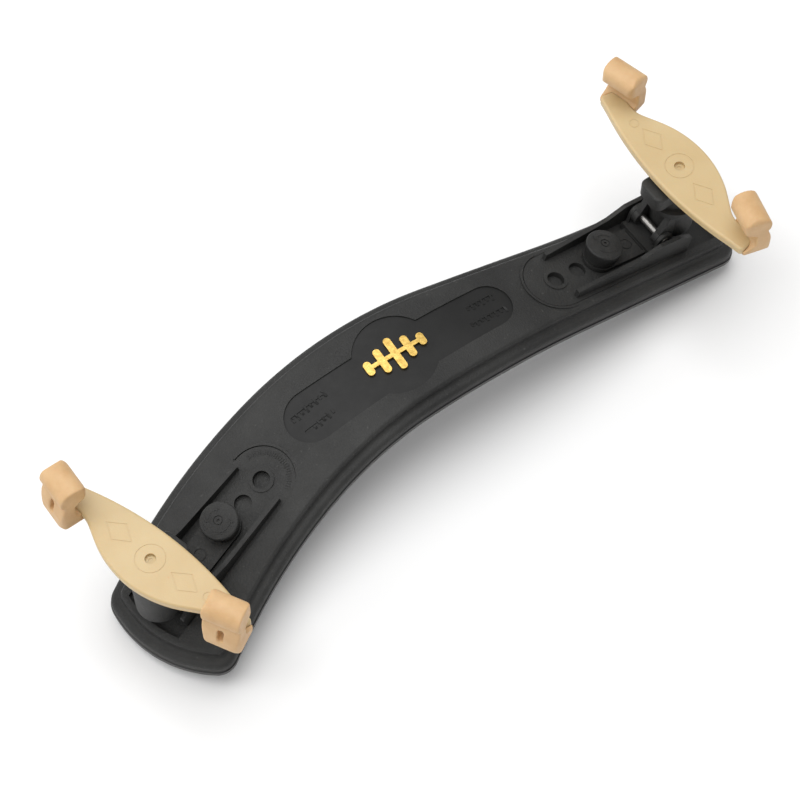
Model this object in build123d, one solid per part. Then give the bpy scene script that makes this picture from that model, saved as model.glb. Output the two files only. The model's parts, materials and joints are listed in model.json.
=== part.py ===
"""Adjustable violin shoulder rest: arched body, two tracks, two folding legs with forks."""
from build123d import *
from math import cos, hypot, pi, radians, sin
import os

os.makedirs("parts", exist_ok=True)

# Arch: a round crown about the Y axis, running out into straight ramps at both ends
ARCH_R = 200.0
RAMP_DEG = 15.0
RAMP_LENGTH = 110.0
APEX_HEIGHT = 36.6
CENTRE_X = -1.997
CENTRE_Y = -9.568

# Layers, as depths below the arch surface, and how far each is set in from the widest outline
BAND_DEPTH = 2.9
BODY_DEPTH = 6.4
COVER_DEPTH = 7.8
PAD_DEPTH = 13.0
CROWN_INSET = 3.6
BAND_INSET = 0.3
PAD_INSET = 1.3
CROWN_ROUND = 1.2
VALLEY_ROUND = 1.2
BAND_ROUND = 1.9

# Plan outline of the widest layer
RIGHT_NEAR = (115.4, -19.6)
NEAR_BEND = (-6.0, -18.2)
NEAR_LEAD = (-92.0, -40.4)
NEAR_RUN = 9.3
LEFT_MIDDLE = (-114.6, -25.5)
FAR_RUN = 8.5
FAR_LEAD = (-109.0, 1.2)
FAR_CREST = (-22.0, 22.6)
FAR_TURN = (14.0, 19.33)
FAR_FLAT = (95.0, 12.6)
RIGHT_RUN = 20.4
RIGHT_MIDDLE = (117.4, -3.4)
LEFT_ROUND = 6.0
RIGHT_ROUND = 8.0

# Sunk panel in the middle and its ornament
PANEL_SINK = 0.45
PANEL_LEFT = (-37.8, 1.5)
PANEL_LEFT_R = 8.7
PANEL_RIGHT = (27.4, 0.1)
PANEL_RIGHT_R = 7.6
PANEL_HUB = (-6.3, 2.4)
PANEL_HUB_R = 13.4
EMBLEM_PROUD = 0.6
EMBLEM_PITCH = 4.7
EMBLEM_BARS = (5.0, 9.0, 12.0, 8.0, 4.5)
EMBLEM_WIDTH = 2.4
EMBLEM_RAIL = 1.4
MARK_WIDTH = 1.1
MARK_DEEP = 0.3
MARKS_LEFT = ((-37.0, 4.6, 13.0), (-38.0, -1.6, 9.0))
MARKS_RIGHT = ((26.5, 3.0, 9.0), (25.5, -2.8, 12.0))

# Track seats: X runs outward down the ramp, Z stands square on the ramp
SEAT_RIGHT = Pos(52.0, -2.2, -6.88) * Rot(0, RAMP_DEG, 0)
SEAT_LEFT = Pos(-61.0, -5.0, -9.29) * Rot(0, 0, 195) * Rot(0, RAMP_DEG, 0)
LEG_TURN = {"r": 0.0, "l": 195.0}

# Track plate
TRACK_HALF = 10.4
TRACK_END = 48.0
TRACK_T = 1.8
SEAT_GAP = 0.15
DISH_END = 70.0
DISH_INSET = 5.6
RIM_IN = 10.7
RIM_OUT = 11.5
RIM_PROUD = 0.2
INDEX_HOLES = (0.0, 9.0, 17.8)
INDEX_R = 2.76
INDEX_RING_R = 3.9
INDEX_RING_T = 0.3
WALL_START = 1.5
WALL_IN = 7.6
WALL_SPREAD = 1.2
WALL_T = 1.4

# Slide block
RIDE_GAP = 0.08
TONGUE_HALF = 5.4
TONGUE_TOP = 1.65
KNOB_X = 17.8
BASE_START = 33.0
BASE_END = 39.2
BASE_HALF = 7.3
BASE_TOP = 2.6
RELIEF_HALF = 4.25
RELIEF_TOP = 0.5
RELIEF_END = 23.5
BOSS_R = 4.2
BOSS_TOP = 3.0
INSERT_R = 3.2
INSERT_BORE = 2.05
PIN_X = 37.7
PIN_Z = 6.3
PIN_R = 1.2
PIN_LENGTH = 15.0
EAR_IN = 6.1
EAR_R = 3.0

# Clamp knob
KNOB_BOTTOM = 1.8
KNOB_TOP = 7.8
KNOB_LOW_R = 5.1
KNOB_HIGH_R = 5.95
KNOB_DOME = 0.5
KNOB_ROUND = 0.6
KNOB_HOLLOW_R = 4.5
KNOB_HOLLOW = 1.6
KNOB_SCREW_R = 2.0
KNOB_SCREW_TIP = 0.5
KNOB_SCREW_TOP = 6.0

# Leg, in an upright frame on the hinge pin: X outward, Z up
ARM_IN = 3.8
ARM_OUT = 5.95
ARM_BORE = 1.25
HUB_X = 8.6
HUB_R = 7.1
HUB_BOTTOM = -4.4
HUB_TOP = 22.0
WELL_BOTTOM = -2.0
WELL_R = 3.4
POST_INSERT_R = 4.5
POST_INSERT_BORE = 3.05
POST_INSERT_BOTTOM = 8.0
TAB_REACH = 11.5
TAB_HALF = 5.0
TAB_LOW = 16.0
TAB_HIGH = 21.5
SHIELD_R = 9.0
SHIELD_LOW = 9.5
SHIELD_HIGH = 12.0

# Fork and its screw
WASHER_LOW = 22.1
WASHER_HIGH = 23.0
WASHER_IN = 3.1
WASHER_OUT = 5.5
FORK_TOP = 26.28
FORK_T = 3.18
FORK_ROUND = 0.8
FORK_WAIST_ROUND = 9.0
POST_R = 3.0
POST_PITCH = 1.0
POST_TURNS = 22
POST_GROOVE = 0.35
HEAD_R = 4.5
HEAD_T = 1.6
DIMPLE_R = 1.7
DIMPLE_DEEP = 1.2
PEEP_R = 0.7
ENGRAVE = 0.12

# Feet
FOOT_U = 31.0
FOOT_V = 2.5
FOOT_TOE = 15.0
FOOT_WIDTH = 12.0
FOOT_ROUND = 2.2


def under(depth):
    """Everything below the surface lying this deep under the arch."""
    angle = radians(RAMP_DEG)
    radius = ARCH_R - depth
    knee = (radius * sin(angle), radius * cos(angle) - ARCH_R)
    tip = (knee[0] + RAMP_LENGTH * cos(angle), knee[1] - RAMP_LENGTH * sin(angle))
    floor = -ARCH_R / 2
    outline = [
        ThreePointArc((-knee[0], knee[1]), (0, -depth), knee),
        Polyline(knee, tip, (tip[0], floor), (-tip[0], floor), (-tip[0], tip[1]), (-knee[0], knee[1])),
    ]
    return extrude(Plane.XZ * make_face(outline), amount=100, both=True)


def plan_outline():
    """Widest outline seen from above; neighbouring curves meet smoothly except at four corners."""
    near_side = Line(RIGHT_NEAR, NEAR_BEND)
    near_sweep = TangentArc(NEAR_BEND, NEAR_LEAD, tangent=near_side % 1)
    near_end = Line(near_sweep @ 1, near_sweep @ 1 + NEAR_RUN * (near_sweep % 1))
    far_sweep = TangentArc(FAR_CREST, FAR_LEAD, tangent=(-1, 0))
    far_end = Line(far_sweep @ 1, far_sweep @ 1 + FAR_RUN * (far_sweep % 1))
    far_shoulder = TangentArc(FAR_CREST, FAR_TURN, tangent=(1, 0))
    far_hollow = TangentArc(FAR_TURN, FAR_FLAT, tangent=far_shoulder % 1)
    far_side = Line(far_hollow @ 1, far_hollow @ 1 + RIGHT_RUN * (far_hollow % 1))
    left_end = ThreePointArc(near_end @ 1, LEFT_MIDDLE, far_end @ 1)
    right_end = ThreePointArc(far_side @ 1, RIGHT_MIDDLE, near_side @ 0)
    face = make_face([near_side, near_sweep, near_end, left_end, far_end, far_sweep,
                      far_shoulder, far_hollow, far_side, right_end])
    face = fillet([nearest_corner(face, near_end @ 1), nearest_corner(face, far_end @ 1)], LEFT_ROUND)
    return fillet([nearest_corner(face, far_side @ 1), nearest_corner(face, near_side @ 0)], RIGHT_ROUND)


def nearest_corner(face, point):
    return face.vertices().sort_by_distance(point)[0]


PLAN = plan_outline()


def prism(inset):
    """Upright column over the outline, set in by this much."""
    face = offset(PLAN, -inset) if inset else PLAN
    return Pos(0, 0, -60) * extrude(face, amount=90)


def layer(top, bottom, inset):
    return (prism(inset) & under(top)) - under(bottom)


def depth_of(point):
    """How deep a point lies under the arch surface."""
    angle = radians(RAMP_DEG)
    x = abs(point.X)
    if x < (ARCH_R + point.Z) * sin(angle) / cos(angle):
        return ARCH_R - hypot(x, point.Z + ARCH_R)
    run = x - ARCH_R * sin(angle)
    drop = point.Z - (ARCH_R * cos(angle) - ARCH_R)
    return -(run * sin(angle) + drop * cos(angle))


def rim_edges(solid, depth, inset):
    """Edges that run round the outline at one depth and one inset."""
    wire = offset(PLAN, -inset).wires()[0]
    found = []
    for edge in solid.edges():
        spots = [edge @ t for t in (0.1, 0.5, 0.9)]
        level = all(abs(depth_of(p) - depth) < 0.05 for p in spots)
        if level and all(wire.distance_to(Vector(p.X, p.Y, 0)) < 0.25 for p in spots):
            found.append(edge)
    return found


def slab(points, low, high):
    """Straight-sided outline pulled up between two heights."""
    return Pos(0, 0, low) * extrude(make_face(Polyline(*points, close=True)), amount=high - low)


def side_slab(points, inner, outer):
    """Side profile (X, Z) given a width between two Y values."""
    face = Plane.XZ * make_face(Polyline(*points, close=True))
    return Pos(0, outer, 0) * extrude(face, amount=outer - inner)


def disc(radius, low, high, x=0.0, y=0.0):
    return Pos(x, y, (low + high) / 2) * Cylinder(radius, high - low)


def ring(inner, outer, low, high):
    return disc(outer, low, high) - disc(inner, low - 1, high + 1)


def block(x_range, y_range, z_range):
    size = [b - a for a, b in (x_range, y_range, z_range)]
    middle = [(a + b) / 2 for a, b in (x_range, y_range, z_range)]
    return Pos(*middle) * Box(*size)


def track_outline(half, end):
    sides = Polyline((0, half), (end, half), (end, -half), (0, -half))
    return make_face([sides, ThreePointArc((0, -half), (-half, 0), (0, half))])


def panel_prism():
    left_x, left_y = PANEL_LEFT
    right_x, right_y = PANEL_RIGHT
    bridge = make_face(Polyline(
        (left_x, left_y + PANEL_LEFT_R), (right_x, right_y + PANEL_RIGHT_R),
        (right_x, right_y - PANEL_RIGHT_R), (left_x, left_y - PANEL_LEFT_R), close=True))
    ends = Pos(*PANEL_LEFT) * Circle(PANEL_LEFT_R) + Pos(*PANEL_RIGHT) * Circle(PANEL_RIGHT_R)
    hub = Pos(*PANEL_HUB) * Circle(PANEL_HUB_R)
    return Pos(0, 0, -20) * extrude(bridge + ends + hub, amount=40)


def panel_marks():
    """Rows of short rounded grooves in the two lobes of the panel."""
    flat = [Pos(x, y) * SlotOverall(length, MARK_WIDTH) for x, y, length in MARKS_LEFT + MARKS_RIGHT]
    columns = [Pos(0, 0, -20) * extrude(mark, amount=40) for mark in flat]
    floor = under(PANEL_SINK + MARK_DEEP)
    return [column - floor for column in columns]


def body_frame():
    crown = layer(0, BODY_DEPTH, CROWN_INSET)
    band = layer(BAND_DEPTH, BODY_DEPTH, BAND_INSET)
    solid = crown + band
    solid = fillet(rim_edges(solid, BAND_DEPTH, CROWN_INSET), VALLEY_ROUND)
    solid = fillet(rim_edges(solid, 0, CROWN_INSET), CROWN_ROUND)
    solid = fillet(rim_edges(solid, BAND_DEPTH, BAND_INSET), BAND_ROUND)
    solid -= panel_prism() - under(PANEL_SINK)
    for mark in panel_marks():
        solid -= mark
    for seat in (SEAT_RIGHT, SEAT_LEFT):
        rim = ring(RIM_IN, RIM_OUT, -1.5, RIM_PROUD) - block((0, 30), (-20, 20), (-5, 5))
        solid += seat * rim
        pocket = extrude(track_outline(TRACK_HALF + SEAT_GAP, TRACK_END + SEAT_GAP), amount=20)
        dish = extrude(track_outline(TRACK_HALF + SEAT_GAP, DISH_END), amount=20)
        solid -= seat * Pos(0, 0, -TRACK_T) * pocket
        solid -= (seat * Pos(0, 0, -TRACK_T) * dish) & prism(DISH_INSET)
    return solid


def cover_plate():
    return layer(BODY_DEPTH, COVER_DEPTH, 0)


def shoulder_pad():
    pad = layer(COVER_DEPTH, PAD_DEPTH, PAD_INSET)
    return pad - block((-200, 200), (-100, 100), (-200, -APEX_HEIGHT))


def emblem():
    """Five rounded bars on a thin rail, like a sound wave."""
    first = -(len(EMBLEM_BARS) - 1) / 2 * EMBLEM_PITCH
    flat = Rectangle(EMBLEM_PITCH * (len(EMBLEM_BARS) - 1), EMBLEM_RAIL)
    for i, height in enumerate(EMBLEM_BARS):
        bar = Rot(0, 0, 90) * SlotOverall(height, EMBLEM_WIDTH)
        flat += Pos(first + i * EMBLEM_PITCH, 0) * bar
    column = Pos(PANEL_HUB[0], PANEL_HUB[1], -20) * extrude(Rot(0, 0, -3) * flat, amount=40)
    return (column & under(-EMBLEM_PROUD)) - under(PANEL_SINK)


def track():
    plate = Pos(0, 0, -TRACK_T) * extrude(track_outline(TRACK_HALF, TRACK_END), amount=TRACK_T)
    plate = fillet(plate.edges().filter_by(Axis.Z).sort_by(Axis.X)[-2:], 1.5)
    plate += disc(INDEX_RING_R, -0.5, INDEX_RING_T)
    for x in INDEX_HOLES:
        plate -= disc(INDEX_R, -TRACK_T - 1, 2, x)
    side = [(0, -0.5), (0, 2.6), (20, 4.6), (27, 5.4), (34, 8.2), (42, 8.4), (47, 6.6), (49, 3.5), (49, -0.5)]
    profile = side_slab(side, -20, 20)
    inner, outer = WALL_IN, WALL_IN + WALL_T
    end_in, end_out = inner + WALL_SPREAD, outer + WALL_SPREAD
    for sign in (-1, 1):
        plan = [(WALL_START, sign * inner), (TRACK_END - 0.5, sign * end_in),
                (TRACK_END - 0.5, sign * end_out), (WALL_START, sign * outer)]
        plate += slab(plan, -0.5, 12) & profile
    return plate


def slide_block():
    nose = disc(TONGUE_HALF, RIDE_GAP, TONGUE_TOP, KNOB_X)
    solid = nose + block((KNOB_X, BASE_START + 1), (-TONGUE_HALF, TONGUE_HALF), (RIDE_GAP, TONGUE_TOP))
    solid += block((BASE_START, BASE_END), (-BASE_HALF, BASE_HALF), (RIDE_GAP, BASE_TOP))
    solid += disc(BOSS_R, RIDE_GAP, BOSS_TOP, KNOB_X)
    for low, high in ((-BASE_HALF, -EAR_IN), (EAR_IN, BASE_HALF)):
        foot = block((PIN_X - EAR_R, PIN_X + EAR_R), (low, high), (RIDE_GAP, PIN_Z))
        eye = Pos(PIN_X, (low + high) / 2, PIN_Z) * Rot(90, 0, 0) * Cylinder(EAR_R, high - low)
        solid += foot + eye
    solid -= block((0, RELIEF_END), (-RELIEF_HALF, RELIEF_HALF), (-1, RELIEF_TOP))
    solid -= disc(INSERT_R, -1, 5, KNOB_X)
    solid -= Pos(29, 0, 0) * ring(1.7, 2.0, TONGUE_TOP - 0.25, 3)
    solid -= block((32.4, 32.8), (-4.6, 4.6), (TONGUE_TOP - 0.5, 3))
    return solid - Pos(PIN_X, 0, PIN_Z) * Rot(90, 0, 0) * Cylinder(PIN_R, 40)


def knob_insert():
    return Pos(KNOB_X, 0, 0) * ring(INSERT_BORE, INSERT_R, RELIEF_TOP, BOSS_TOP)


def knob():
    crown = KNOB_TOP + KNOB_DOME
    shoulder = (KNOB_HIGH_R, KNOB_TOP - KNOB_ROUND)
    brow = (KNOB_HIGH_R - KNOB_ROUND, KNOB_TOP)
    section = make_face([
        Polyline((0, crown), (0, KNOB_BOTTOM), (KNOB_LOW_R, KNOB_BOTTOM), shoulder),
        ThreePointArc(shoulder, (KNOB_HIGH_R - 0.3 * KNOB_ROUND, KNOB_TOP - 0.3 * KNOB_ROUND), brow),
        ThreePointArc(brow, (KNOB_HIGH_R / 2, crown - 0.22 * KNOB_DOME), (0, crown)),
    ])
    solid = revolve(Plane.XZ * section, Axis.Z)
    solid -= disc(KNOB_HOLLOW_R, 0, KNOB_BOTTOM + KNOB_HOLLOW)
    solid -= disc(KNOB_SCREW_R, 0, KNOB_SCREW_TOP)
    solid -= ring(1.2, 1.5, crown - 0.3, crown + 1)
    solid -= disc(0.45, crown - 0.4, crown + 1)
    return Pos(KNOB_X, 0, 0) * solid


def knob_screw():
    return disc(KNOB_SCREW_R, KNOB_SCREW_TIP, KNOB_SCREW_TOP, KNOB_X)


def hinge_pin():
    return Pos(PIN_X, 0, PIN_Z) * Rot(90, 0, 0) * Cylinder(PIN_R, PIN_LENGTH)


def swing_bracket():
    hub = disc(HUB_R, HUB_BOTTOM, HUB_TOP)
    hub = fillet(hub.edges().sort_by(Axis.Z)[0], 1.5)
    tab = block((-TAB_REACH, 0), (-TAB_HALF, TAB_HALF), (TAB_LOW, TAB_HIGH))
    tab = fillet(tab.edges().filter_by(Axis.Z).sort_by(Axis.X)[:2], 2.2)
    tab = fillet(tab.faces().sort_by(Axis.Z)[-1].edges().sort_by(Axis.X)[:4], 0.8)
    shield = disc(SHIELD_R, SHIELD_LOW, SHIELD_HIGH) - block((-1, 20), (-20, 20), (0, 20))
    solid = Pos(HUB_X, 0, 0) * (hub + tab + shield)
    side = [(-1.4, 2.65), (2.4, 8.5), (HUB_X, 8.5), (HUB_X, HUB_BOTTOM + 0.8), (4.0, HUB_BOTTOM + 0.4), (0, -3)]
    for low, high in ((-ARM_OUT, -ARM_IN), (ARM_IN, ARM_OUT)):
        solid += side_slab(side, low, high)
        solid += Pos(0, (low + high) / 2, 0) * Rot(90, 0, 0) * Cylinder(EAR_R, high - low)
    solid -= Rot(90, 0, 0) * Cylinder(ARM_BORE, 40)
    solid -= disc(POST_INSERT_R, POST_INSERT_BOTTOM, HUB_TOP + 1, HUB_X)
    return solid - disc(WELL_R, WELL_BOTTOM, HUB_TOP, HUB_X)


def post_insert():
    return Pos(HUB_X, 0, 0) * ring(POST_INSERT_BORE, POST_INSERT_R, POST_INSERT_BOTTOM, HUB_TOP)


def fork_washer():
    return Pos(HUB_X, 0, 0) * ring(WASHER_IN, WASHER_OUT, WASHER_LOW, WASHER_HIGH)


def post_screw():
    """Ring-grooved M6 post with a flat head moulded into the fork."""
    top = FORK_TOP - FORK_T
    points = [(0, top + HEAD_T), (HEAD_R, top + HEAD_T), (HEAD_R, top)]
    for i in range(POST_TURNS):
        z = top - i * POST_PITCH
        points += [(POST_R, z), (POST_R, z - 0.3), (POST_R - POST_GROOVE, z - 0.65)]
    bottom = top - POST_TURNS * POST_PITCH
    points += [(POST_R - POST_GROOVE, bottom), (0, bottom)]
    section = make_face(Polyline(*points, close=True))
    return Pos(HUB_X, 0, 0) * revolve(Plane.XZ * section, Axis.Z)


def fork_blank():
    """Fork plate seen from above: X outward, Y along the fork, top face at zero."""
    edge = [(5.4, 17), (1.31, 24.5), (3.4, 34), (-4, 35), (-5, 30)]
    right = Polyline(*edge)
    left = Polyline(*[(v, -u) for v, u in edge])
    bulge = ThreePointArc((5.4, -17), (9.8, 0), (5.4, 17))
    back = ThreePointArc((-5, 30), (-8.9, 0), (-5, -30))
    face = make_face([right, left, bulge, back])
    waist = [face.vertices().sort_by_distance((1.31, s * 24.5, 0))[0] for s in (-1, 1)]
    face = fillet(waist, FORK_WAIST_ROUND)
    tips = [face.vertices().sort_by_distance((v, s * u, 0))[0]
            for s in (-1, 1) for v, u in ((3.4, 34), (-4, 35))]
    face = fillet(tips, 1.5)
    plate = Pos(0, 0, -FORK_T) * extrude(face, amount=FORK_T)
    rims = plate.faces().sort_by(Axis.Z)[-1].edges() + plate.faces().sort_by(Axis.Z)[0].edges()
    return fillet(rims, FORK_ROUND)


def fork():
    solid = fork_blank()
    solid -= disc(HEAD_R, -FORK_T - 1, -FORK_T + HEAD_T)
    solid -= disc(DIMPLE_R, -DIMPLE_DEEP, 1)
    solid -= disc(PEEP_R, -FORK_T, 1)
    solid -= ring(4.3, 4.65, -ENGRAVE, 1)
    for sign in (-1, 1):
        mark = [(-3.4, 0), (0, -5.2), (3.4, 0), (0, 5.2)]
        lozenge = slab(mark, -ENGRAVE, 1) - slab([(0.85 * v, 0.88 * u) for v, u in mark], -1, 2)
        solid -= Pos(-0.6, sign * 12.5, 0) * lozenge
    solid -= Pos(-1.5, 20.6, 0) * ring(1.3, 1.6, -ENGRAVE, 1)
    return Pos(HUB_X, 0, FORK_TOP) * solid


def foot(sign):
    """Soft claw pushed over one tip of the fork."""
    back = ThreePointArc((4.9, -2.6), (4.2, 2.4), (2.4, 7.4))
    head = Spline((2.4, 7.4), (3.4, 9.8), (2.4, 12.9), (-1.2, 14.4), (-4.8, 13.0), (-5.6, 10.2), (-4.6, 7.8))
    throat = Polyline((-4.6, 7.8), (-2.2, 6.7), (-0.8, 5.6), (-0.8, 0.8), (-1.8, 0.0))
    sole = Polyline((-1.8, 0.0), (-4.9, -1.5), (-4.3, -3.9), (3.8, -4.0), (4.9, -2.6))
    face = Plane.XZ * make_face([back, head, throat, sole])
    solid = Pos(0, FOOT_WIDTH / 2, 0) * extrude(face, amount=FOOT_WIDTH)
    plan = Pos(-0.4, 0, -6) * extrude(RectangleRounded(10.6, FOOT_WIDTH, FOOT_ROUND), amount=22)
    front = extrude(Plane.YZ * Pos(0, 5.2) * RectangleRounded(FOOT_WIDTH, 18.8, FOOT_ROUND), amount=9, both=True)
    solid = solid & plan & front
    solid -= Pos(5.0, 0, 2.8) * Rot(0, 90, 0) * extrude(SlotOverall(5.2, 1.9), amount=3, both=True)
    place = Pos(FOOT_V, sign * FOOT_U, 0) * Rot(0, 0, sign * FOOT_TOE)
    return Pos(HUB_X, 0, FORK_TOP) * (place * solid - fork_blank())


def save(shape, name):
    """Move into the shared frame (table under the pad, middle of the plan) and write one part."""
    export_step(Pos(-CENTRE_X, -CENTRE_Y, APEX_HEIGHT) * shape, f"parts/{name}.step")


save(body_frame(), "body_frame")
save(cover_plate(), "cover_plate")
save(shoulder_pad(), "shoulder_pad")
save(emblem(), "emblem")
for side, seat in (("r", SEAT_RIGHT), ("l", SEAT_LEFT)):
    pin = (seat * Pos(PIN_X, 0, PIN_Z)).position
    upright = Pos(pin) * Rot(0, 0, LEG_TURN[side])
    save(seat * track(), f"track_{side}")
    save(seat * slide_block(), f"slide_block_{side}")
    save(seat * knob_insert(), f"knob_insert_{side}")
    save(seat * knob(), f"knob_{side}")
    save(seat * knob_screw(), f"knob_screw_{side}")
    save(seat * hinge_pin(), f"hinge_pin_{side}")
    save(upright * swing_bracket(), f"swing_bracket_{side}")
    save(upright * post_insert(), f"post_insert_{side}")
    save(upright * fork_washer(), f"fork_washer_{side}")
    save(upright * post_screw(), f"post_screw_{side}")
    save(upright * fork(), f"fork_{side}")
    far_sign = 1 if side == "r" else -1
    save(upright * foot(far_sign), f"foot_far_{side}")
    save(upright * foot(-far_sign), f"foot_near_{side}")
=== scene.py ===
"""Violin shoulder rest: materials, foam pad, mould detail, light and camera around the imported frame."""

import json
import math

import bpy
from mathutils import Matrix, Vector, noise


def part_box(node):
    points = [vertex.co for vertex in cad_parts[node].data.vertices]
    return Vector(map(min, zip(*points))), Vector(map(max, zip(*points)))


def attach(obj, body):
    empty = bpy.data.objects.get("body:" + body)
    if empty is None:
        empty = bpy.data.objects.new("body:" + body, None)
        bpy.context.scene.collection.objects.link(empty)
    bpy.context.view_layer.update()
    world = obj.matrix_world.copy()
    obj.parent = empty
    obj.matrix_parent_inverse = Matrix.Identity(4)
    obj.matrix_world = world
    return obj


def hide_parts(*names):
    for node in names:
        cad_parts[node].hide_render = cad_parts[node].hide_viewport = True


MM = 0.001

# Camera: where it stands round the object, in degrees and metres
CAMERA_AZIMUTH = -35.81
CAMERA_ELEVATION = 61.88
CAMERA_DISTANCE = 0.732
CAMERA_TARGET = Vector((-0.01191, -0.00104, 0.035))
CAMERA_LENS = 109.4
SENSOR = 36.0

# Colours, linear
BLACK = (0.013, 0.013, 0.0125)
BLACK_WORN = (0.030, 0.030, 0.0285)
PANEL = (0.007, 0.007, 0.0068)
FLANGE = (0.016, 0.016, 0.017)
# Darkest foam colour, the painted shade at the bottom of each cell's dent
FOAM_PIT_SHADE = (0.012, 0.012, 0.013)
FOAM_LIGHT = (0.028, 0.028, 0.030)
BEIGE = (0.60, 0.46, 0.25)
BEIGE_WARM = (0.55, 0.40, 0.20)
RUBBER = (0.64, 0.42, 0.215)
RUBBER_DARK = (0.54, 0.32, 0.14)
GOLD = (0.62, 0.43, 0.13)
GOLD_DEEP = (0.34, 0.21, 0.05)
STEEL = (0.42, 0.41, 0.39)
STEEL_DARK = (0.24, 0.23, 0.22)
BRASS = (0.78, 0.58, 0.28)
BRASS_DARK = (0.45, 0.30, 0.12)
FLOOR = (0.93, 0.93, 0.93)

# Name panel, in millimetres
PANEL_ENDS = ((-35.8, 11.07), (29.4, 9.67))
PANEL_RADII = (8.7, 7.6)
PANEL_HUB = (-4.3, 11.97)
PANEL_HUB_R = 13.4
PANEL_LOWEST = 28.0
PANEL_MARGIN = 0.05
PANEL_FACES_UP = 0.8

# Mould radii, in millimetres
EDGE_RADIUS = 0.18
COVER_EDGE_RADIUS = 0.35
EMBLEM_EDGE_RADIUS = 0.55
RIDGE_EDGE_RADIUS = 0.06

# Rubber feet: skin size in millimetres and smoothing rounds
FOOT_VOXEL = 0.32
FOOT_ROUNDS = 9

# Track seats and the ramp they slope down, in millimetres and degrees
SEATS = {"r": (Vector((53.997, 7.368, 29.72)), 0.0), "l": (Vector((-59.003, 4.568, 27.31)), 195.0)}
RAMP = 15.0
ABOVE_ARCH = 80

# Knob arrows
KNOB_X = 17.8
KNOB_CROWN = 8.3
ARROW_R = 3.5
ARROW_SWEEP = 95
ARROW_TIP = 100
ARROW_BARB_START = 82
ARROW_BARB_RADII = (2.6, 4.4)
ARROW_WIDTH = 0.55
ARROW_START = {"r": 205, "l": 215}

# Ticks round the wide end's track
TICK_R = 8.5
TICK_COUNT = 28
TICK_FIRST = 108
TICK_STEP = 5.2
TICK_HALF = 0.65
TICK_HALF_LONG = 0.9
TICK_WIDTH = 0.34

# Panel strokes: middle x, y, lean in degrees and count of each row
PANEL_ROWS = ((-35.0, 14.1, 6, 8), (-33.6, 8.0, 6, 5), (28.0, 12.4, -3, 6), (27.4, 6.8, -3, 8))
STROKE_PITCH = 1.75
STROKE_HEIGHT = 2.6
STROKE_SHORT = 0.62
STROKE_WIDTH = 0.75

# Moulding gate in each fork's dimple: x, y and top
GATE = {"r": (100.64, 7.37, 50.95), "l": (-104.06, -7.51, 48.55)}
GATE_SIZE = 1.5
GATE_DEPTH = 0.4

# Foam pad
PAD_VOXEL = 1.5 * MM
PAD_ROUNDS = 14
PAD_SWELL = 0.25 * MM
PAD_RIPPLE = 60

# Floor and light: place, aim, size in metres and power in watts
FLOOR_SIZE = 6
WORLD_STRENGTH = 0.55
SOFTBOXES = {
    "key": ((-0.10, 0.16, 1.1), (0, 0, 0), 1.1, 9.5),
    "rake": ((-0.9, 0.55, 0.55), (-0.03, 0, 0.03), 0.5, 2.5),
}

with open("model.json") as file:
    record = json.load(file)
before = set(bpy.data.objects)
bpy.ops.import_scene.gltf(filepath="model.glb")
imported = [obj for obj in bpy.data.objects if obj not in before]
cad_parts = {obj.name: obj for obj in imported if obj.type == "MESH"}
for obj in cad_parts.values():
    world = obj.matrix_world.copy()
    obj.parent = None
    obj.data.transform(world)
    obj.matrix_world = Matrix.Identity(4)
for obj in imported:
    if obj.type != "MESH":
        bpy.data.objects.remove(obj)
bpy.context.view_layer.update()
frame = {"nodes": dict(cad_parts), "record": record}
nodes = frame["nodes"]


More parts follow.
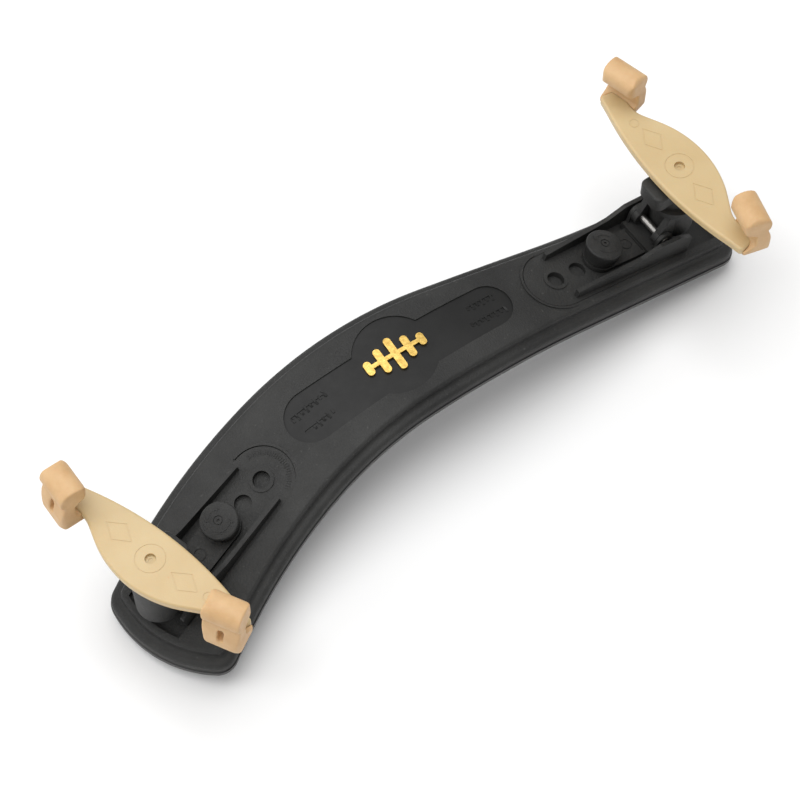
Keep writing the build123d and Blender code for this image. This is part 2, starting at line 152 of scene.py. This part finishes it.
class Shader:
    """A small helper that wires one procedural material."""

    def __init__(self, name):
        self.material = bpy.data.materials.new(name)
        self.material.use_nodes = True
        self.tree = self.material.node_tree
        self.surface = self.tree.nodes["Principled BSDF"]
        self.coordinates = self.tree.nodes.new("ShaderNodeTexCoord").outputs["Object"]

    def node(self, kind, **inputs):
        made = self.tree.nodes.new(kind)
        for key, value in inputs.items():
            made.inputs[key.replace("_", " ")].default_value = value
        return made

    def link(self, output, target):
        self.tree.links.new(output, target)

    def noise(self, scale, detail=2.0, rough=0.5, stretch=(1, 1, 1)):
        mapping = self.node("ShaderNodeMapping", Scale=stretch)
        self.link(self.coordinates, mapping.inputs["Vector"])
        made = self.node("ShaderNodeTexNoise", Scale=scale, Detail=detail, Roughness=rough)
        self.link(mapping.outputs["Vector"], made.inputs["Vector"])
        return made.outputs["Fac"]

    def cells(self, scale):
        made = self.node("ShaderNodeTexVoronoi", Scale=scale)
        self.link(self.coordinates, made.inputs["Vector"])
        return made.outputs["Distance"]

    def ramp(self, value, low, high, low_colour, high_colour):
        made = self.tree.nodes.new("ShaderNodeValToRGB")
        start, end = made.color_ramp.elements
        start.position, end.position = low, high
        start.color, end.color = (*low_colour, 1), (*high_colour, 1)
        self.link(value, made.inputs["Fac"])
        return made.outputs["Color"]

    def spread(self, value, low, high):
        """Stretches a 0 to 1 value to run from low to high."""
        made = self.node("ShaderNodeMapRange")
        made.inputs["To Min"].default_value = low
        made.inputs["To Max"].default_value = high
        self.link(value, made.inputs["Value"])
        return made.outputs["Result"]

    def mix(self, factor, first, second):
        made = self.tree.nodes.new("ShaderNodeMix")
        made.data_type = "RGBA"
        self.link(factor, made.inputs["Factor"])
        for source, target in ((first, made.inputs["A"]), (second, made.inputs["B"])):
            if isinstance(source, tuple):
                target.default_value = (*source, 1)
            else:
                self.link(source, target)
        return made.outputs["Result"]

    def bump(self, heights):
        """Chained bumps: a list of (height output, distance in metres)."""
        normal = None
        for height, distance in heights:
            made = self.node("ShaderNodeBump", Strength=1.0, Distance=distance)
            self.link(height, made.inputs["Height"])
            if normal is not None:
                self.link(normal, made.inputs["Normal"])
            normal = made.outputs["Normal"]
        self.link(normal, self.surface.inputs["Normal"])

    def colour(self, output):
        self.link(output, self.surface.inputs["Base Color"])

    def roughness(self, output):
        self.link(output, self.surface.inputs["Roughness"])

    def fixed(self, **values):
        for key, value in values.items():
            self.surface.inputs[key.replace("_", " ")].default_value = value


def black_plastic():
    """Spark-textured black moulding with handling shine, dust and pale specks."""
    s = Shader("black_plastic")
    cloud = s.noise(38, 3, 0.6)
    body = s.ramp(cloud, 0.35, 0.75, BLACK, BLACK_WORN)
    speck = s.ramp(s.noise(900, 1, 0.3), 0.72, 0.82, (0, 0, 0), (0.5, 0.5, 0.5))
    s.colour(s.mix(speck, body, (0.07, 0.07, 0.066)))
    s.roughness(s.spread(s.noise(160, 4, 0.65), 0.36, 0.62))
    s.bump([(s.noise(1700, 3, 0.75), 0.00026), (s.noise(120, 2), 0.00012)])
    s.fixed(Specular_IOR_Level=0.36)
    return s.material


def panel_plastic():
    """The name panel and its marks: same moulding, finer and darker than the spark texture."""
    s = Shader("panel_plastic")
    s.colour(s.ramp(s.noise(70, 3), 0.35, 0.75, PANEL, BLACK))
    s.roughness(s.spread(s.noise(300, 3, 0.6), 0.40, 0.55))
    s.bump([(s.noise(2200, 2, 0.6), 0.00003)])
    s.fixed(Specular_IOR_Level=0.26)
    return s.material


def flange_plastic():
    s = Shader("flange_plastic")
    s.colour(s.ramp(s.noise(60, 3), 0.3, 0.8, FLANGE, BLACK_WORN))
    s.roughness(s.spread(s.noise(300, 3), 0.34, 0.5))
    s.bump([(s.noise(1800, 2), 0.00004)])
    s.fixed(Specular_IOR_Level=0.4)
    return s.material


def foam():
    """Closed-cell foam: tiny dented cells with painted shade at the bottom of each dent, and a soft, dull
    skin.
    """
    s = Shader("foam")
    pits_and_pit_shade = s.cells(1500)
    # Painted shade: the colour darkens towards the bottom of each dent, following the same cells as the
    # bump below.
    s.colour(s.mix(s.spread(pits_and_pit_shade, 0.0, 0.9), FOAM_PIT_SHADE, FOAM_LIGHT))
    s.roughness(s.spread(s.noise(500, 3), 0.8, 0.97))
    s.bump([(pits_and_pit_shade, 0.00025), (s.noise(260, 3), 0.0003)])
    s.fixed(Sheen_Weight=0.15, Sheen_Roughness=0.5)
    return s.material


def beige_plastic():
    s = Shader("beige_plastic")
    s.colour(s.ramp(s.noise(45, 3, 0.55), 0.3, 0.75, BEIGE, BEIGE_WARM))
    s.roughness(s.spread(s.noise(220, 3), 0.36, 0.5))
    s.bump([(s.noise(1500, 2), 0.00003), (s.noise(90, 2), 0.00008)])
    s.fixed(Subsurface_Weight=0.12, Subsurface_Scale=0.002, Subsurface_Radius=(1.0, 0.55, 0.25))
    return s.material


def beige_rubber():
    """Soft moulded rubber, darker and pinker where hands and the violin have rubbed it."""
    s = Shader("beige_rubber")
    rub = s.noise(140, 4, 0.6)
    s.colour(s.ramp(rub, 0.35, 0.8, RUBBER, RUBBER_DARK))
    s.roughness(s.spread(s.noise(400, 3), 0.45, 0.62))
    s.bump([(s.noise(1700, 3, 0.6), 0.00008), (s.noise(230, 2), 0.00025)])
    s.fixed(Subsurface_Weight=0.1, Subsurface_Scale=0.002, Subsurface_Radius=(1.0, 0.45, 0.2))
    return s.material


def metal(name, bright, dark, rough, grain):
    s = Shader(name)
    streak = s.noise(900, 3, 0.6, grain)
    s.colour(s.ramp(streak, 0.25, 0.8, bright, dark))
    s.roughness(s.spread(streak, rough, rough + 0.18))
    s.bump([(streak, 0.00003)])
    s.fixed(Metallic=1.0)
    return s.material


def floor_material():
    s = Shader("floor")
    s.colour(s.ramp(s.noise(3, 2), 0.3, 0.7, FLOOR, tuple(0.99 * c for c in FLOOR)))
    s.fixed(Roughness=0.9)
    return s.material


MATERIALS = {
    "black_plastic": black_plastic(),
    "panel_plastic": panel_plastic(),
    "flange_plastic": flange_plastic(),
    "foam": foam(),
    "beige_plastic": beige_plastic(),
    "beige_rubber": beige_rubber(),
    "gilt": metal("gilt", GOLD, GOLD_DEEP, 0.24, (1, 1, 1)),
    "steel": metal("steel", STEEL, STEEL_DARK, 0.34, (1, 12, 12)),
    "brass_insert": metal("brass_insert", BRASS, BRASS_DARK, 0.25, (1, 1, 1)),
}


def paint(obj, slot, finish=None):
    obj.data.materials.clear()
    obj.data.materials.append(MATERIALS[finish or slot])
    return obj


for part in frame["record"]["subparts"]:
    paint(nodes[part["node"]], part["material_slot"])


# ---- edges and soft shapes of the nodes that stay ----

def soften_edges(obj, width, angle=32):
    """A small mould radius on every sharp edge."""
    bevel = obj.modifiers.new("mould_radius", "BEVEL")
    bevel.width = width
    bevel.segments = 2
    bevel.limit_method = "ANGLE"
    bevel.angle_limit = math.radians(angle)
    return bevel


def melt(obj, voxel, rounds, factor=0.5):
    """Rounds a rubber or foam moulding as if it had no sharp edge anywhere."""
    remesh = obj.modifiers.new("skin", "REMESH")
    remesh.mode = "VOXEL"
    remesh.voxel_size = voxel
    remesh.use_smooth_shade = True
    smooth = obj.modifiers.new("soften", "SMOOTH")
    smooth.factor = factor
    smooth.iterations = rounds


def panel_finish(body):
    """The recessed panel's floor takes its own finish."""
    body.data.materials.append(MATERIALS["panel_plastic"])
    for polygon in body.data.polygons:
        x, y, z = (c / MM for c in polygon.center)
        along = min(max(x, PANEL_ENDS[0][0]), PANEL_ENDS[1][0])
        share = (along - PANEL_ENDS[0][0]) / (PANEL_ENDS[1][0] - PANEL_ENDS[0][0])
        middle = PANEL_ENDS[0][1] + share * (PANEL_ENDS[1][1] - PANEL_ENDS[0][1])
        radius = PANEL_RADII[0] + share * (PANEL_RADII[1] - PANEL_RADII[0])
        lobe = math.hypot(x - along, y - middle) < radius - PANEL_MARGIN
        hub = math.hypot(x - PANEL_HUB[0], y - PANEL_HUB[1]) < PANEL_HUB_R - PANEL_MARGIN
        if (lobe or hub) and polygon.normal.z > PANEL_FACES_UP and z > PANEL_LOWEST:
            polygon.material_index = 1


panel_finish(nodes["body_frame"])

for side in ("l", "r"):
    for name in ("track", "slide_block", "swing_bracket"):
        soften_edges(nodes[f"{name}_{side}"], EDGE_RADIUS * MM)
    for name in ("foot_far", "foot_near"):
        melt(nodes[f"{name}_{side}"], FOOT_VOXEL * MM, FOOT_ROUNDS)
soften_edges(nodes["emblem"], EMBLEM_EDGE_RADIUS * MM).segments = 4
soften_edges(nodes["cover_plate"], COVER_EDGE_RADIUS * MM)


# ---- fine moulded marks ----

def seat_place(side):
    """Frame of a track seat: X runs outward down the ramp, Z stands square on the ramp."""
    place, turn = SEATS[side]
    turned = Matrix.Rotation(math.radians(turn), 4, "Z") @ Matrix.Rotation(math.radians(RAMP), 4, "Y")
    frame_of_seat = Matrix.Scale(MM, 4) @ Matrix.Translation(place) @ turned
    return lambda point: frame_of_seat @ point


def on_arc(radius, degrees, x=0.0):
    """The point of a circle about (x, 0) at an angle."""
    turn = math.radians(degrees)
    return Vector((x + radius * math.cos(turn), radius * math.sin(turn)))


def arc(radius, start, end, steps=12, x=0.0):
    """Points of an arc about (x, 0), between two angles."""
    return [on_arc(radius, start + (end - start) * i / steps, x) for i in range(steps + 1)]


def on_arch(point):
    """Drops a point of the plan onto the frame's upper face; its Z is the height above it."""
    start = Vector((point.x, point.y, ABOVE_ARCH)) * MM
    hit, place, normal, _ = nodes["body_frame"].ray_cast(start, Vector((0, 0, -1)))
    return place + Vector((0, 0, point.z * MM)) if hit else start


def ridges(name, paths, width, low, high, place, slot, body, finish=None):
    """Low raised lines moulded on a surface: every path is one line of points."""
    vertices, faces = [], []
    for path in paths:
        start = len(vertices)
        for i, point in enumerate(path):
            along = (path[min(i + 1, len(path) - 1)] - path[max(i - 1, 0)]).normalized()
            across = Vector((-along.y, along.x)) * width / 2
            for edge in (point - across, point + across):
                vertices += [place(Vector((edge.x, edge.y, z))) for z in (low, high)]
        for a in range(start, len(vertices) - 4, 4):
            b = a + 4
            faces += [(a + 1, b + 1, b + 3, a + 3), (a, a + 2, b + 2, b)]
            faces += [(a, b, b + 1, a + 1), (a + 2, a + 3, b + 3, b + 2)]
        b = len(vertices) - 4
        faces += [(start, start + 1, start + 3, start + 2), (b, b + 2, b + 3, b + 1)]
    mesh = bpy.data.meshes.new(name)
    mesh.from_pydata(vertices, [], faces)
    made = bpy.data.objects.new(name, mesh)
    bpy.context.scene.collection.objects.link(made)
    soften_edges(made, RIDGE_EDGE_RADIUS * MM)
    paint(made, slot, finish)
    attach(made, body)


def turn_arrows(side):
    """Two raised curved arrows on a knob's crown."""
    paths = []
    for first in (ARROW_START[side], ARROW_START[side] + 180):
        paths.append(arc(ARROW_R, first, first + ARROW_SWEEP, x=KNOB_X))
        tip = on_arc(ARROW_R, first + ARROW_TIP, KNOB_X)
        for radius in ARROW_BARB_RADII:
            paths.append([on_arc(radius, first + ARROW_BARB_START, KNOB_X), tip])
    ridges(f"turn_arrows_{side}", paths, ARROW_WIDTH, KNOB_CROWN - 0.7, KNOB_CROWN - 0.04,
           seat_place(side), "black_plastic", f"clamp_{side}")


def track_scale():
    """A ring of short raised ticks round the inner end of the wide end's track."""
    paths = []
    for i in range(TICK_COUNT):
        half = TICK_HALF if i % 3 else TICK_HALF_LONG
        paths.append([on_arc(TICK_R + d, TICK_FIRST + TICK_STEP * i) for d in (-half, half)])
    ridges("track_scale", paths, TICK_WIDTH, -0.1, 0.16, seat_place("l"), "black_plastic", "base")


def panel_strokes():
    """Plain raised strokes in two rows on each wing of the panel, standing where words would."""
    paths = []
    for x, y, lean, count in PANEL_ROWS:
        along = Vector((math.cos(math.radians(lean)), math.sin(math.radians(lean))))
        across = Vector((-along.y, along.x))
        for i in range(count):
            middle = Vector((x, y)) + along * STROKE_PITCH * (i - (count - 1) / 2)
            half = 0.5 * STROKE_HEIGHT * (1.0 if i % 2 else STROKE_SHORT)
            paths.append([middle - across * half, middle, middle + across * half])
    ridges("panel_strokes", paths, STROKE_WIDTH, -0.2, 0.2, on_arch, "black_plastic", "base",
           "panel_plastic")


def gate_plug(side):
    """The moulding gate at the bottom of a fork's dimple."""
    x, y, top = GATE[side]
    path = [Vector((x - GATE_SIZE / 2, y)), Vector((x + GATE_SIZE / 2, y))]
    ridges(f"gate_plug_{side}", [path], GATE_SIZE, top - GATE_DEPTH, top, lambda point: point * MM,
           "beige_plastic", f"claw_{side}")


turn_arrows("r")
turn_arrows("l")
track_scale()
panel_strokes()
gate_plug("r")
gate_plug("l")


# ---- foam pad, crafted from the space of its CAD solid ----

def foam_pad():
    """The pad as one soft skin: rounded edges, a slight ripple, flat where it stands."""
    source = nodes["shoulder_pad"]
    pad = bpy.data.objects.new("foam_pad", source.data.copy())
    bpy.context.scene.collection.objects.link(pad)
    melt(pad, PAD_VOXEL, PAD_ROUNDS)
    depsgraph = bpy.context.evaluated_depsgraph_get()
    mesh = bpy.data.meshes.new_from_object(pad.evaluated_get(depsgraph))
    pad.modifiers.clear()
    pad.data = mesh
    low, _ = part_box("shoulder_pad")
    for vertex in mesh.vertices:
        ripple = noise.noise(vertex.co * PAD_RIPPLE)
        vertex.co += vertex.normal * PAD_SWELL * ripple
        vertex.co.z = max(vertex.co.z, low[2])
    for polygon in mesh.polygons:
        polygon.use_smooth = True
    finer = pad.modifiers.new("finer", "SUBSURF")
    finer.levels = finer.render_levels = 1
    paint(pad, "foam")
    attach(pad, "base")
    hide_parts("shoulder_pad")


foam_pad()


# ---- floor, light and camera ----

def floor():
    bpy.ops.mesh.primitive_plane_add(size=FLOOR_SIZE, location=(0, 0, 0))
    plane = bpy.context.object
    plane.name = "floor"
    plane.data.materials.append(floor_material())


def softbox(name, place, target, size, power):
    data = bpy.data.lights.new(name, "AREA")
    data.shape = "DISK"
    data.size = size
    data.energy = power
    light = bpy.data.objects.new(name, data)
    light.location = place
    aim = Vector(target) - Vector(place)
    light.rotation_euler = aim.to_track_quat("-Z", "Y").to_euler()
    bpy.context.scene.collection.objects.link(light)


def studio():
    world = bpy.data.worlds.new("studio")
    bpy.context.scene.world = world
    world.use_nodes = True
    background = world.node_tree.nodes["Background"]
    background.inputs["Color"].default_value = (1, 1, 1, 1)
    background.inputs["Strength"].default_value = WORLD_STRENGTH
    for name, (place, target, size, power) in SOFTBOXES.items():
        softbox(name, place, target, size, power)


def camera():
    azimuth = math.radians(CAMERA_AZIMUTH)
    elevation = math.radians(CAMERA_ELEVATION)
    back = Vector((math.sin(azimuth) * math.cos(elevation), -math.cos(azimuth) * math.cos(elevation),
                   math.sin(elevation)))
    right = Vector((math.cos(azimuth), math.sin(azimuth), 0))
    up = back.cross(right)
    data = bpy.data.cameras.new("camera")
    data.lens = CAMERA_LENS
    data.sensor_width = SENSOR
    data.clip_start = 0.01
    made = bpy.data.objects.new("camera", data)
    turn = Matrix((right, up, back)).transposed().to_4x4()
    made.matrix_world = Matrix.Translation(CAMERA_TARGET + CAMERA_DISTANCE * back) @ turn
    bpy.context.scene.collection.objects.link(made)
    bpy.context.scene.camera = made


floor()
studio()
camera()
bpy.context.scene.view_settings.view_transform = "Standard"
